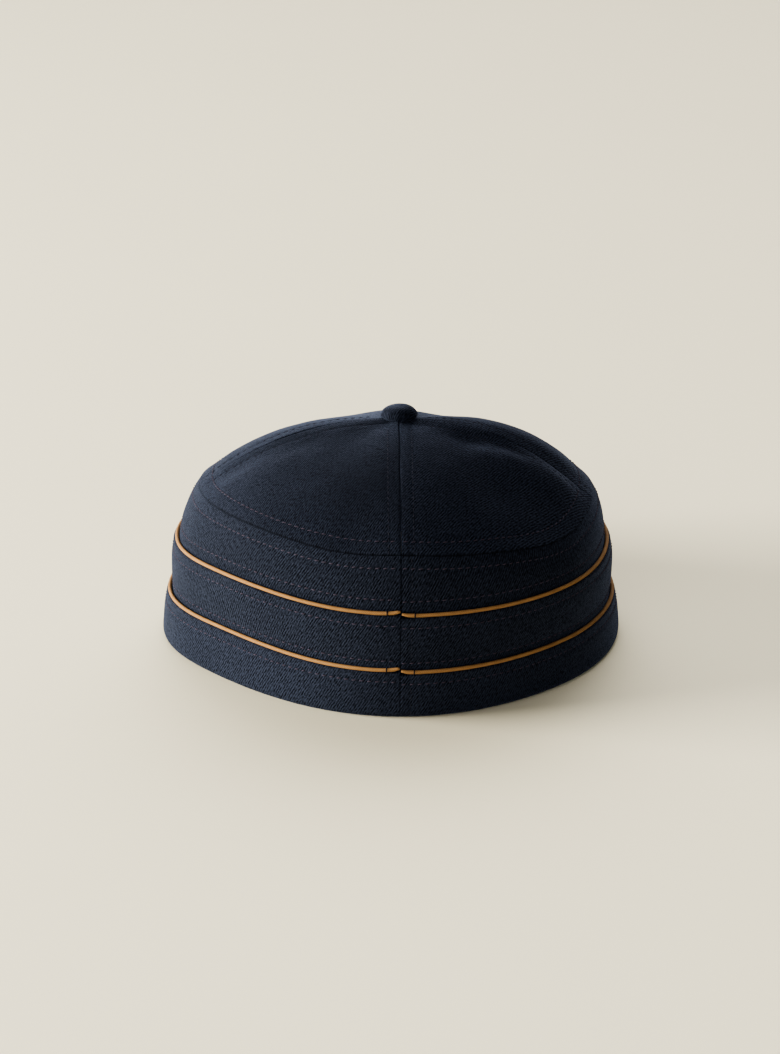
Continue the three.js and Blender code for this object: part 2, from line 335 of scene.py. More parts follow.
def sheet_object(name, outer, inner, uv, fading, node, material):
    """Closed sheet of cloth between two grids of points, as a piece that stands for a packed one."""
    columns, rows = outer.shape[:2]
    points = np.concatenate([outer.reshape(-1, 3), inner.reshape(-1, 3)])
    index = np.arange(columns * rows).reshape(columns, rows)
    back = index + columns * rows

    faces = np.concatenate(
        [
            quads(index[:-1, :-1], index[1:, :-1], index[1:, 1:], index[:-1, 1:]),
            quads(back[:-1, :-1], back[:-1, 1:], back[1:, 1:], back[1:, :-1]),
            quads(index[:-1, 0], back[:-1, 0], back[1:, 0], index[1:, 0]),
            quads(index[:-1, -1], index[1:, -1], back[1:, -1], back[:-1, -1]),
            quads(index[0, :-1], index[0, 1:], back[0, 1:], back[0, :-1]),
            quads(index[-1, :-1], back[-1, :-1], back[-1, 1:], index[-1, 1:]),
        ]
    )
    uv = np.concatenate([uv.reshape(-1, 2)] * 2)
    fading = np.concatenate([fading.ravel(), np.zeros(columns * rows)])
    piece = mesh_object(name, points, faces, material, uv, fading)
    piece.data.set_sharp_from_angle(angle=SHARP_EDGE)
    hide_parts(node)
    return piece


def mesh_object(name, points, faces, material, uv=None, fading=None):
    """Smooth-shaded mesh that rides on the cap."""
    mesh = bpy.data.meshes.new(name)
    mesh.from_pydata(points.tolist(), [], [list(map(int, face)) for face in faces])
    mesh.shade_smooth()
    if uv is not None:
        layer = mesh.uv_layers.new(name="cloth")
        corner = np.empty(len(mesh.loops), int)
        mesh.loops.foreach_get("vertex_index", corner)
        layer.data.foreach_set("uv", uv[corner].astype(np.float32).ravel())
    if fading is not None:
        layer = mesh.attributes.new("fading", "FLOAT", "POINT")
        layer.data.foreach_set("value", fading.astype(np.float32))
    mesh.materials.append(material)
    piece = bpy.data.objects.new(name, mesh)
    bpy.context.scene.collection.objects.link(piece)
    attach(piece, BODY)
    return piece


# Making stitches

# Rings of a stitch: place along its half, size and lift, both as shares of the thread's radius
STITCH_RINGS = [
    (-1.0, 0.35, -0.9),
    (-0.7, 0.85, 0.1),
    (-0.25, 1.0, 0.75),
    (0.25, 1.0, 0.75),
    (0.7, 0.85, 0.1),
    (1.0, 0.35, -0.9),
]
STITCH_SIDES = 6
STITCH_TURN = np.arange(STITCH_SIDES) * math.tau / STITCH_SIDES
STITCH_HALF = (0.44, 0.53)  # shortest and longest half of a stitch as shares of its length
STITCH_LEAN = (0.6, 1.4)  # least and most lean of a stitch as shares of its slant


def read_along(run, values, away):
    """Values along a row of points, read at a distance along it."""
    return np.array([np.interp(away, run, values[:, k]) for k in range(3)])


def thread_faces(first, rings):
    """Faces of a thread closed at both ends, whose rings of points start at a number."""
    index = first + np.arange(rings * STITCH_SIDES).reshape(rings, STITCH_SIDES)
    after = np.roll(index, -1, axis=1)
    sides = quads(index[:-1], index[1:], after[1:], after[:-1])
    return [*sides.tolist(), index[0].tolist(), index[-1, ::-1].tolist()]


def stitches(lines, stitch, radius, seed):
    """Points and faces of the stitches along lines, each a pair of points and outward normals."""
    chance = np.random.default_rng(seed)
    points, faces = [], []
    for path, normals in lines:
        run = run_length(path)
        for start in np.arange(stitch.pitch / 2, run[-1] - stitch.pitch / 2, stitch.pitch):
            half = stitch.length * chance.uniform(*STITCH_HALF)
            ends = [read_along(run, path, start + away) for away in (-half, half)]
            out = read_along(run, normals, start)
            out /= np.linalg.norm(out)
            along = ends[1] - ends[0]
            along /= np.linalg.norm(along)
            side = np.cross(out, along)
            lean = stitch.slant * chance.uniform(*STITCH_LEAN)
            faces.extend(thread_faces(len(points), len(STITCH_RINGS)))
            for share, size, lift in STITCH_RINGS:
                centre = (ends[0] + ends[1]) / 2 + (along * half + side * lean) * share + out * radius * lift
                for a in STITCH_TURN:
                    points.append(centre + radius * size * (np.cos(a) * side + np.sin(a) * out))
    return np.array(points), faces


def stitch_object(name, lines, stitch, seed, beside_seam=False):
    """Lines of topstitching as one mesh, in finer thread beside a seam."""
    radius = stitch.seam_radius if beside_seam else stitch.radius
    points, faces = stitches(lines, stitch, radius, seed)
    mesh_object(name, points, faces, thread_material("seam_thread" if beside_seam else "thread"))


# Materials


WAVE_PERIOD = math.tau / 20  # length of one band of the wave texture at scale 1
TWILL_SHARES = {"ribs": 0.44, "yarns": 0.06, "grain": 0.50}  # what each layer adds to the shade of the weave
YARN_PITCH = 0.7  # spacing of the yarns as a share of the rib pitch
GRAIN_RANGE = (0.41, 0.59)  # values of the noise that are darkest and lightest
GRAIN_FINENESS = 1.75  # grains to a rib
PATCH_SHARES = {"patch": 0.5, "even": 0.72}  # how much of the shade comes in patches, and how much stays
PAINTED_SHADING_WEIGHT = 0.7  # how strongly a place's painted light and shade changes its colour
PIPING_WEAVE = {"pitch": 0.6 * MM, "slope": math.radians(35)}
PIPING_SHARES = {"weave": 0.35, "worn": 0.8}
NAP = {"twill": 0.20, "thread": 0.10, "roughness": 0.3}
THREAD_GAINS = (0.5, 1.4)  # darkest and lightest places as shares of the colour
FLOOR_GAINS = (0.985, 1.015)
# Roughness and shine of each surface
FINISHES = {
    "twill": (0.92, 0.03),
    "piping": (0.8, 0.1),
    "thread": (0.8, 0.1),
    "floor": (0.9, 0.0),
}


def feed(tree, socket, value):
    """Set a socket to a value, or link another node's output to it."""
    if isinstance(value, bpy.types.NodeSocket):
        tree.links.new(value, socket)
    else:
        socket.default_value = value


def add_node(tree, kind, **inputs):
    """A shader node with its inputs fed by name."""
    made = tree.nodes.new(kind)
    for name, value in inputs.items():
        feed(tree, made.inputs[name.replace("_", " ")], value)
    return made


def bands(tree, spot, pitch, **inputs):
    """Bands of a weave at a pitch."""
    return add_node(tree, "ShaderNodeTexWave", Vector=spot, Scale=WAVE_PERIOD / pitch, Detail=2.0, **inputs)


def math_node(tree, operation, first, second):
    """A sum, product or like result of two values."""
    made = tree.nodes.new("ShaderNodeMath")
    made.operation = operation
    for socket, value in zip(made.inputs, (first, second)):
        feed(tree, socket, value)
    return made.outputs[0]


def mix_node(tree, factor, first, second):
    """A blend of two colours."""
    made = tree.nodes.new("ShaderNodeMix")
    made.data_type = "RGBA"
    by_kind = {socket.identifier: socket for socket in made.inputs}
    feed(tree, by_kind["Factor_Float"], factor)
    feed(tree, by_kind["A_Color"], first)
    feed(tree, by_kind["B_Color"], second)
    return next(socket for socket in made.outputs if socket.identifier == "Result_Color")


def opaque(rgb, gain=1.0):
    """A colour with full alpha."""
    return (rgb[0] * gain, rgb[1] * gain, rgb[2] * gain, 1.0)


def new_material(name, finish):
    """A material with one of the finishes: its node tree and the surface shader."""
    made = bpy.data.materials.new(name)
    made.use_nodes = True
    tree = made.node_tree
    tree.nodes.clear()
    surface = tree.nodes.new("ShaderNodeBsdfPrincipled")
    output = tree.nodes.new("ShaderNodeOutputMaterial")
    tree.links.new(surface.outputs[0], output.inputs[0])
    roughness, shine = FINISHES[finish]
    surface.inputs["Roughness"].default_value = roughness
    surface.inputs["Specular IOR Level"].default_value = shine
    return made, tree, surface


def add_nap(surface, weight):
    """Short fibres that catch the light at a low angle."""
    surface.inputs["Sheen Weight"].default_value = weight
    surface.inputs["Sheen Roughness"].default_value = NAP["roughness"]
    surface.inputs["Sheen Tint"].default_value = opaque(bpy.context.scene.cap_colours.nap)


def twill_material():
    """Navy twill: diagonal ribs broken into yarns, loose fibres, patches of uneven tone, painted light and
    shade from each place's attribute, and a soft nap.
    """
    if "twill" in bpy.data.materials:
        return bpy.data.materials["twill"]
    cloth, colours = bpy.context.scene.cap_cloth, bpy.context.scene.cap_colours
    made, tree, surface = new_material("twill", "twill")
    spot = tree.nodes.new("ShaderNodeTexCoord").outputs["UV"]
    tilt = math.pi / 2 - cloth.rib_slope
    turned = add_node(tree, "ShaderNodeMapping", Vector=spot, Rotation=(0, 0, tilt))
    ribs = bands(tree, turned.outputs[0], cloth.rib_pitch, Distortion=1.6, Detail_Scale=1.2)
    yarns = bands(tree, turned.outputs[0], cloth.rib_pitch * YARN_PITCH, Distortion=5.0)
    yarns.bands_direction = "Y"
    drawn = add_node(tree, "ShaderNodeMapping", Vector=turned.outputs[0], Scale=(1.0, cloth.slub, 1.0))
    fibres = add_node(
        tree,
        "ShaderNodeTexNoise",
        Vector=drawn.outputs[0],
        Scale=GRAIN_FINENESS / cloth.rib_pitch,
        Detail=2.0,
        Roughness=0.6,
    )
    low, high = GRAIN_RANGE
    grain = add_node(tree, "ShaderNodeMapRange", Value=fibres.outputs["Fac"], From_Min=low, From_Max=high)
    layers = {"ribs": ribs.outputs["Fac"], "yarns": yarns.outputs["Fac"], "grain": grain.outputs[0]}
    weave = 0.0
    for layer, share in TWILL_SHARES.items():
        weave = math_node(tree, "ADD", math_node(tree, "MULTIPLY", layers[layer], share), weave)
    patches = add_node(tree, "ShaderNodeTexNoise", Vector=spot, Scale=34.0, Detail=4.0, Roughness=0.6)
    patch = math_node(tree, "MULTIPLY", patches.outputs["Fac"], PATCH_SHARES["patch"])
    shade = math_node(tree, "MULTIPLY", weave, math_node(tree, "ADD", patch, PATCH_SHARES["even"]))
    # Painted light and shade: each place is lightened or darkened by its attribute, for the light on each
    # piece and the shade in its seams
    fading = tree.nodes.new("ShaderNodeAttribute")
    fading.attribute_name = "fading"
    change = math_node(tree, "MULTIPLY", fading.outputs["Fac"], PAINTED_SHADING_WEIGHT)
    shade = math_node(tree, "MULTIPLY", shade, math_node(tree, "ADD", change, 1.0))
    tint = mix_node(tree, shade, opaque(colours.navy_dark), opaque(colours.navy_light))
    tree.links.new(tint, surface.inputs["Base Color"])
    bump = add_node(tree, "ShaderNodeBump", Height=weave, Strength=0.7, Distance=0.24 * MM)
    tree.links.new(bump.outputs[0], surface.inputs["Normal"])
    add_nap(surface, NAP["twill"])
    return made


def piping_material():
    """Tan cloth drawn tight over a cord, with a fine weave and darker worn places."""
    if "piping" in bpy.data.materials:
        return bpy.data.materials["piping"]
    colours = bpy.context.scene.cap_colours
    made, tree, surface = new_material("piping", "piping")
    spot = tree.nodes.new("ShaderNodeTexCoord").outputs["UV"]
    turned = add_node(tree, "ShaderNodeMapping", Vector=spot, Rotation=(0, 0, PIPING_WEAVE["slope"]))
    weave = bands(tree, turned.outputs[0], PIPING_WEAVE["pitch"], Distortion=2.0)
    worn = add_node(tree, "ShaderNodeTexNoise", Vector=spot, Scale=160.0, Detail=4.0, Roughness=0.6)
    woven = math_node(tree, "MULTIPLY", weave.outputs["Fac"], PIPING_SHARES["weave"])
    rubbed = math_node(tree, "MULTIPLY", worn.outputs["Fac"], PIPING_SHARES["worn"])
    shade = math_node(tree, "ADD", woven, rubbed)
    tint = mix_node(tree, shade, opaque(colours.tan_dark), opaque(colours.tan_light))
    tree.links.new(tint, surface.inputs["Base Color"])
    bump = add_node(tree, "ShaderNodeBump", Height=shade, Strength=0.35, Distance=0.15 * MM)
    tree.links.new(bump.outputs[0], surface.inputs["Normal"])
    return made


def thread_material(name):
    """Sewing thread in one of the cap's thread colours, twisted and a little uneven."""
    if name in bpy.data.materials:
        return bpy.data.materials[name]
    colour_of_thread = getattr(bpy.context.scene.cap_colours, name)
    made, tree, surface = new_material(name, "thread")
    spot = tree.nodes.new("ShaderNodeTexCoord").outputs["Object"]
    uneven = add_node(tree, "ShaderNodeTexNoise", Vector=spot, Scale=900.0, Detail=3.0)
    dark, light = (opaque(colour_of_thread, gain) for gain in THREAD_GAINS)
    tree.links.new(mix_node(tree, uneven.outputs["Fac"], dark, light), surface.inputs["Base Color"])
    add_nap(surface, NAP["thread"])
    return made


def floor_material():
    """Pale paper with a faint unevenness."""
    colours = bpy.context.scene.cap_colours
    made, tree, surface = new_material("pale_floor", "floor")
    spot = tree.nodes.new("ShaderNodeTexCoord").outputs["Object"]
    uneven = add_node(tree, "ShaderNodeTexNoise", Vector=spot, Scale=5.0, Detail=5.0)
    dark, light = (opaque(colours.floor, gain) for gain in FLOOR_GAINS)
    tree.links.new(mix_node(tree, uneven.outputs["Fac"], dark, light), surface.inputs["Base Color"])
    return made


# Strips

# Where the unevenness of the cloth dies away, and the small changes at its stitching and its foot
CALM_TOP = {"run": 4.0 * MM, "left": 0.15}  # how far below an upper edge it lies calm, and what is left there
CALM_HEM = 5.0 * MM  # how far above the hem it does
PUCKER = 0.25  # how much the stitches pull the groove in and let it out
BACK_GROOVE = 0.6  # groove beside the back seam as a share of the others
BACK_SEAM_SHADE = 0.45  # darkness of the painted shade along the back seam as a share of the rim's
TUCK_RUN = 3.0 * MM  # height over which a hidden foot is drawn in


def fine_strip(node, cloth):
    """Smooth outer and inner grids of a strip, with the run along it and up it at each point."""
    outer, inner = strip_controls(node)
    mid = outer.shape[1] // 2
    run = run_length(outer[:, mid])
    rise = np.mean([run_length(column) for column in outer], axis=0)
    top = rise[-1] + STRIP_REACH[node]["top"] * MM
    beside = cloth.step * BESIDE_EDGE
    start, end = -cloth.seam_lap, run[-1] + cloth.seam_lap
    across = np.linspace(start, end, round((end - start) / cloth.step) + 1)
    across = np.unique(np.concatenate([across, start + beside, end - beside]))
    up = np.unique(np.concatenate([np.linspace(0, top, round(top / cloth.step) + 1), top - beside]))
    outer, inner = (smooth_grid(face, run, across, rise, up) for face in (outer, inner))
    along, upward = np.meshgrid(across - start, up, indexing="ij")
    return outer, inner, along, upward


def strip_lines(node, up_total):
    """Heights of a strip's topstitching above its lower edge."""
    top = up_total - STRIP_REACH[node]["top"] * MM
    return [top - away * MM if edge == "top" else away * MM for edge, away in STRIP_LINES[node]]


def dressed_strip(node, cloth, stitch, seed):
    """A strip with its seam, stitching grooves, rolled edges and soft unevenness."""
    outer, inner, along, upward = fine_strip(node, cloth)
    total_run, total_up = along[-1, 0], upward[0, -1]
    from_seam = np.minimum(along, total_run - along)
    from_top = total_up - upward
    heights = unevenness(outer, cloth, seed) * np.clip(from_top / CALM_TOP["run"], CALM_TOP["left"], 1)
    hidden = STRIP_REACH[node]["hidden"] * MM
    if hidden:
        heights -= cloth.tuck * np.clip((hidden - upward) / TUCK_RUN, 0, 1)
    else:
        heights *= np.clip(upward / CALM_HEM, 0, 1)
        heights += rolled(upward, cloth.hem_roll)
    heights += dip(from_seam, cloth.seam_depth, cloth.seam_width)
    pucker = 1 + PUCKER * np.cos(along * math.tau / stitch.pitch)
    for line in strip_lines(node, total_up):
        heights += dip(upward - line, stitch.groove, stitch.groove_width) * pucker
    heights += dip(along - stitch.back_away, stitch.groove * BACK_GROOVE, stitch.groove_width)
    heights += rolled(from_top, cloth.roll)
    level = grid_normals(outer) * np.array([1, 1, 0])
    outer = outer + level * heights[:, :, None]
    # Painted light and shade: the strip is lightened by its painted level, and darkened along the back seam
    # and, on the wall, along its top edge under the tip's rim.
    painted_level = STRIP_REACH[node]["painted_level"]
    fading = painted_level - creased(from_seam, cloth.crease) * BACK_SEAM_SHADE
    if node == "crown_wall":
        fading -= creased(from_top, cloth.crease) * (1 + painted_level)
    return outer, inner, along, upward, fading


def path_on(points, normals, upward, height):
    """Line along a strip at a height above its lower edge, with its normals."""
    row = np.interp(height, upward[0], np.arange(upward.shape[1]))
    low = int(row)
    part = row - low
    return tuple(grid[:, low] * (1 - part) + grid[:, low + 1] * part for grid in (points, normals))


class CAP_OT_strips(bpy.types.Operator):
    """Make the two bands and the wall of the crown, with their topstitching"""

    bl_idname = "cap.strips"
    bl_label = "Bands and wall"

    def execute(self, context):
        cloth, stitch = context.scene.cap_cloth, context.scene.cap_stitch
        for seed, node in enumerate(STRIP_LINES, start=SEEDS["strips"]):
            outer, inner, along, upward, fading = dressed_strip(node, cloth, stitch, seed)
            uv = np.stack([along, upward], axis=-1)
            piece = sheet_object(node + "_cloth", outer, inner, uv, fading, node, twill_material())
            normals = grid_normals(outer)
            lines = [path_on(outer, normals, upward, height) for height in strip_lines(node, upward[0, -1])]
            stitch_object(node + "_stitches", lines, stitch, seed)
            column = int(np.argmin(np.abs(along[:, 0] - stitch.back_away)))
            shown = upward[0] > STRIP_REACH[node]["hidden"] * MM
            back = [(outer[column, shown], normals[column, shown])]
            stitch_object(node + "_seam_stitches", back, stitch, seed, beside_seam=True)
        return {"FINISHED"}


# Piping


PIPING_RINGS = 14
PIPING_END = 1.6 * MM  # length of the turned-up end
PIPING_UPTURN = 0.45 * MM
PIPING_TAPER = {"share": 0.35, "run": 1.2 * MM}  # how much thinner the ends are, and over what length
PIPING_WOBBLE = {"share": 0.05, "rate": 140.0}  # how uneven the cord is, and how often to the metre
TACK_ARC = np.radians(np.linspace(-75, 115, 12))  # places of a tack's rings round the cord, from straight out
TACK_LEFT = 0.9  # distance of the left tack from the seam as a share of the right one's


def piping_route(node):
    """Middle of a packed piping, from the right of the back seam round to its left, and its radius."""
    left, seam, right = ring(corners(node), PIPING_SIDES)
    seam = seam[np.argsort(seam[:, 0])].reshape(2, PIPING_SIDES, 3)
    rings = np.concatenate([seam[:1], right, left, seam[1:]])
    route = rings.mean(axis=1)
    radius = np.linalg.norm(rings - route[:, None], axis=2).mean()
    return route, radius


class CAP_OT_piping(bpy.types.Operator):
    """Make the piping along the top edge of each band, and the tacks that hold its ends"""

    bl_idname = "cap.piping"
    bl_label = "Piping"

    def execute(self, context):
        cloth, stitch = context.scene.cap_cloth, context.scene.cap_stitch
        for node in ("lower_piping", "upper_piping"):
            route, radius = piping_route(node)
            run = run_length(route)
            places = np.linspace(0, run[-1], round(run[-1] / cloth.step) + 1)
            route = smooth(route, run, places)
            ends = np.minimum(places, places[-1] - places)
            route[:, 2] += PIPING_UPTURN * np.exp(-((ends / PIPING_END) ** 2))
            along = np.gradient(route, axis=0)
            along /= np.linalg.norm(along, axis=1, keepdims=True)
            out = np.cross(along, (0, 0, 1))
            out /= np.linalg.norm(out, axis=1, keepdims=True)
            up = np.cross(out, along)
            turn = np.linspace(0, math.tau, PIPING_RINGS + 1)
            taper = 1 - PIPING_TAPER["share"] * np.exp(-((ends / PIPING_TAPER["run"]) ** 2))
            wobble = [noise.noise(Vector((away * PIPING_WOBBLE["rate"], radius, 0))) for away in places]
            size = radius * (taper + PIPING_WOBBLE["share"] * np.array(wobble))
            points = (
                route[:, None]
                + size[:, None, None] * np.cos(turn)[None, :, None] * out[:, None]
                + size[:, None, None] * np.sin(turn)[None, :, None] * up[:, None]
            )
            self.tube(node, points, places, turn * radius)
            tack = self.tacks(route, places, along, out, up, radius, stitch)
            piece = mesh_object(node + "_tacks", *tack, twill_material(), np.zeros((len(tack[0]), 2)))
        return {"FINISHED"}

    def tube(self, node, points, places, around):
        """The cord itself, closed at both ends."""
        columns = len(places)
        rings = len(around) - 1
        index = np.arange(columns * (rings + 1)).reshape(columns, rings + 1)
        sides = quads(index[:-1, :-1], index[1:, :-1], index[1:, 1:], index[:-1, 1:])
        faces = [*sides.tolist(), index[0, :-1].tolist(), index[-1, :-1][::-1].tolist()]
        uv = np.stack(np.meshgrid(places, around, indexing="ij"), axis=-1).reshape(-1, 2)
        piece = mesh_object(node + "_cord", points.reshape(-1, 3), faces, piping_material(), uv)
        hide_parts(node)

    def tacks(self, route, places, along, out, up, radius, stitch):
        """A stitch over the cord on each side of the back seam."""
        points, faces = [], []
        for away in (stitch.tack_away, places[-1] - stitch.tack_away * TACK_LEFT):
            k = int(np.argmin(np.abs(places - away)))
            faces.extend(face[::-1] for face in thread_faces(len(points), len(TACK_ARC)))
            for a in TACK_ARC:
                outward = np.cos(a) * out[k] + np.sin(a) * up[k]
                centre = route[k] + outward * radius
                for b in STITCH_TURN:
                    points.append(centre + stitch.radius * (np.cos(b) * outward + np.sin(b) * along[k]))
        return np.array(points), faces


# Tip


TIP_CLOTH = 1.2 * MM  # thickness of the panels
TIP_STRETCH = 1.1  # how much longer the weave runs up the slope than it does in plan
CALM_RIM = {"run": 5.0 * MM, "left": 0.2}  # how far from the rim the cloth lies calm, and what is left there
CALM_APEX = 0.2  # share of the radius within which it does at the apex
GROOVE_APEX = 0.15  # share of the radius within which the stitching's grooves die away to the apex
STITCHED_FROM = 0.13  # share of the radius where the stitching comes out from under the button
# Seams of the tip against those of the strips: shares of their sizes, with the crease as the painted shade
# along them, and the share left where they are eased
TIP_SEAM = {"depth": 0.45, "width": 0.8, "groove": 0.4, "crease": 0.1, "eased": 0.2}


def tip_rim(cloth):
    """Plan of the tip's rim at bearings in degrees, from the top edge of the crown wall."""
    outer, _ = strip_controls("crown_wall")
    top = outer[:, -1]
    bearings = BACK_SEAM + np.linspace(0, 360, STRIP_COLUMNS)
    away = top[:, :2] - CENTRE[:2]
    inset = top[:, :2] - away / np.linalg.norm(away, axis=1, keepdims=True) * cloth.rim_inset
    return lambda places: smooth(inset, bearings, places)


def tip_controls(node, rim):
    """Heights of a packed tip panel at its corner points, by row from the rim and by column."""
    tree = BVHTree.FromObject(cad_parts[node], bpy.context.evaluated_depsgraph_get())
    start, end = TIP_PANELS[node]
    shares = np.linspace(TIP_READ["rim"], TIP_READ["apex"], TIP_ROWS)
    heights = np.empty((TIP_ROWS, TIP_COLUMNS))
    for i, share in enumerate(shares):
        held = TIP_HELD / share
        edge = rim(np.linspace(start + held, end - held, TIP_COLUMNS))
        for j, plan in enumerate(APEX[:2] + share * (edge - APEX[:2])):
            hit = tree.ray_cast(Vector((plan[0], plan[1], 2 * APEX[2])), Vector((0, 0, -1)))
            if hit[0] is None:
                raise RuntimeError(f"{node}: no cloth at row {i}, column {j}")
            heights[i, j] = hit[0].z
    return shares, np.linspace(start, end, TIP_COLUMNS), heights


def fine_panel(node, cloth, rim):
    """Smooth grid of a tip panel, by column round the cap and by row from the rim to the apex."""
    shares, bearings, heights = tip_controls(node, rim)
    start, end = TIP_PANELS[node]
    edge_run = run_length(rim(bearings))[-1]
    columns = np.linspace(start, end, round(edge_run / cloth.step) + 1)
    radius = np.linalg.norm(rim(bearings) - APEX[:2], axis=1).mean()
    outermost = 1 + cloth.rim_reach / radius
    rows = np.linspace(outermost, TIP_HOLE, round(radius / cloth.step) + 1)
    beside = cloth.step * BESIDE_EDGE
    rows = np.unique(np.concatenate([rows, outermost - beside / radius]))[::-1]
    wide = smooth(heights, -shares, -rows)
    tall = smooth(wide.T, bearings, columns)
    plan = APEX[:2] + rows[None, :, None] * (rim(columns) - APEX[:2])[:, None]
    return np.concatenate([plan, tall[:, :, None]], axis=2), rows, radius


def seam_distances(node, points, rim):
    """Distances in plan of a panel's points from its two seams."""
    flat = points[:, :, :2] - APEX[:2]
    for bearing in TIP_PANELS[node]:
        side = rim(np.array([bearing]))[0] - APEX[:2]
        side /= np.linalg.norm(side)
        yield np.abs(flat[:, :, 0] * side[1] - flat[:, :, 1] * side[0])


def dressed_panel(node, cloth, stitch, rim, seed):
    """A tip panel with its seams, stitching grooves and soft unevenness, and its distances from its edges."""
    points, rows, radius = fine_panel(node, cloth, rim)
    away = list(seam_distances(node, points, rim))
    from_rim = np.broadcast_to((rows[0] - rows) * radius, points.shape[:2])
    calm = np.clip(from_rim / CALM_RIM["run"], CALM_RIM["left"], 1) * np.clip(rows / CALM_APEX, 0, 1)
    heights = unevenness(points, cloth, seed) * calm
    easing = np.clip(from_rim / cloth.seam_ease, TIP_SEAM["eased"], 1)
    eased = [easing if bearing in SIDE_SEAMS.values() else 1.0 for bearing in TIP_PANELS[node]]
    depth, width = cloth.seam_depth * TIP_SEAM["depth"], cloth.seam_width * TIP_SEAM["width"]
    groove = stitch.groove * TIP_SEAM["groove"] * np.clip(rows / GROOVE_APEX, 0, 1)
    # Painted light and shade: the panel is lightened or darkened from its level towards the apex to its level
    # at the rim, and darkened along its rim and its seams.
    painted_level = np.interp(rows, (TIP_PAINTED_FROM, 1.0), TIP_PAINTED_LEVEL[node])[None, :]
    fading = painted_level - creased(from_rim, cloth.crease) * (1 + painted_level)
    for distance, share in zip(away, eased):
        heights += dip(distance, depth, width) * share
        heights += dip(distance - stitch.seam_away, groove, stitch.groove_width)
        fading = np.minimum(fading, painted_level - creased(distance, cloth.crease) * TIP_SEAM["crease"] * share)
    heights += rolled(from_rim, cloth.roll)
    heights += dip(from_rim - stitch.rim_away, stitch.groove, stitch.groove_width)
    normals = grid_normals(points)
    return points + normals * heights[:, :, None], normals, rows, away, from_rim, fading


def level_path(points, normals, field, value, along_rows):
    """Line on a panel where a field has a value, one point for each row or column that it crosses."""
    path, out = [], []
    for k in range(field.shape[1] if along_rows else field.shape[0]):
        line = (slice(None), k) if along_rows else (k, slice(None))
        values = field[line]
        crossing = np.nonzero(np.diff(np.sign(values - value)))[0]
        if not len(crossing):
            continue
        i = crossing[0]
        part = (value - values[i]) / (values[i + 1] - values[i])
        path.append(points[line][i] * (1 - part) + points[line][i + 1] * part)
        out.append(normals[line][i])
    return np.array(path), np.array(out)


class CAP_OT_tip(bpy.types.Operator):
    """Make the four panels of the tip, with their topstitching"""

    bl_idname = "cap.tip"
    bl_label = "Tip"

    def execute(self, context):
        cloth, stitch = context.scene.cap_cloth, context.scene.cap_stitch
        rim = tip_rim(cloth)
        rim_lines, seam_lines = [], []
        for seed, node in enumerate(TIP_PANELS, start=SEEDS["tip"]):
            panel = dressed_panel(node, cloth, stitch, rim, seed)
            points, normals, rows, away, from_rim, fading = panel
            inner = points - normals * TIP_CLOTH
            facing = -1.0 if "back" in node else 1.0
            uv = facing * (points[:, :, :2] - APEX[:2]) * np.array([1.0, TIP_STRETCH])
            piece = sheet_object(node + "_cloth", points, inner, uv, fading, node, twill_material())
            rim_lines.append(level_path(points, normals, from_rim, stitch.rim_away, False))
            seam_lines.extend(self.seam_lines(points, normals, away, rows, stitch))
        stitch_object("tip_stitches", rim_lines, stitch, SEEDS["tip_stitches"])
        stitch_object("tip_seam_stitches", seam_lines, stitch, SEEDS["tip_seam_stitches"], beside_seam=True)
        return {"FINISHED"}

    def seam_lines(self, points, normals, away, rows, stitch):
        """Topstitching along the two seams of a panel, clear of the button."""
        shown = rows > STITCHED_FROM
        for distance in away:
            grids = (grid[:, shown] for grid in (points, normals, distance))
            yield level_path(*grids, stitch.seam_away, True)


# Button


BUTTON_COLUMNS = 72
BUTTON_ROWS = 14
BUTTON_SHAPE = {"neck": 0.86, "under": 0.08, "widest": 0.26}  # shares of its radius, and of its height
BUTTON_FULLNESS = {"edge": 0.6, "dome": 0.7}  # powers below one make its outline fuller than an arc
# Small gathers round its edge, and how unevenly it sits
BUTTON_FOLDS = {"size": 0.02, "edge": 8, "count": 11, "stray": 1.3, "strays": 3}
BUTTON_LEAN = {"size": 0.03, "count": 2, "turn": 0.7}


def button_profile(radius, height):
    """Half outline of the button: its neck, its rounded edge and its dome."""
    neck = BUTTON_SHAPE["neck"] * radius
    under, widest = BUTTON_SHAPE["under"] * height, BUTTON_SHAPE["widest"] * height
    edge = np.linspace(0, math.pi / 2, BUTTON_ROWS // 2)
    dome = np.linspace(0, math.pi / 2, BUTTON_ROWS)[1:]
    sizes = neck + (radius - neck) * np.sin(edge) ** BUTTON_FULLNESS["edge"]
    lower = np.stack([sizes, widest - (widest - under) * np.cos(edge)], axis=1)
    sizes = radius * np.cos(dome) ** BUTTON_FULLNESS["dome"]
    upper = np.stack([sizes, widest + (height - widest) * np.sin(dome)], axis=1)
    upper[-1, 0] = 0.0
    return np.concatenate([[[neck, 0.0]], lower, upper])


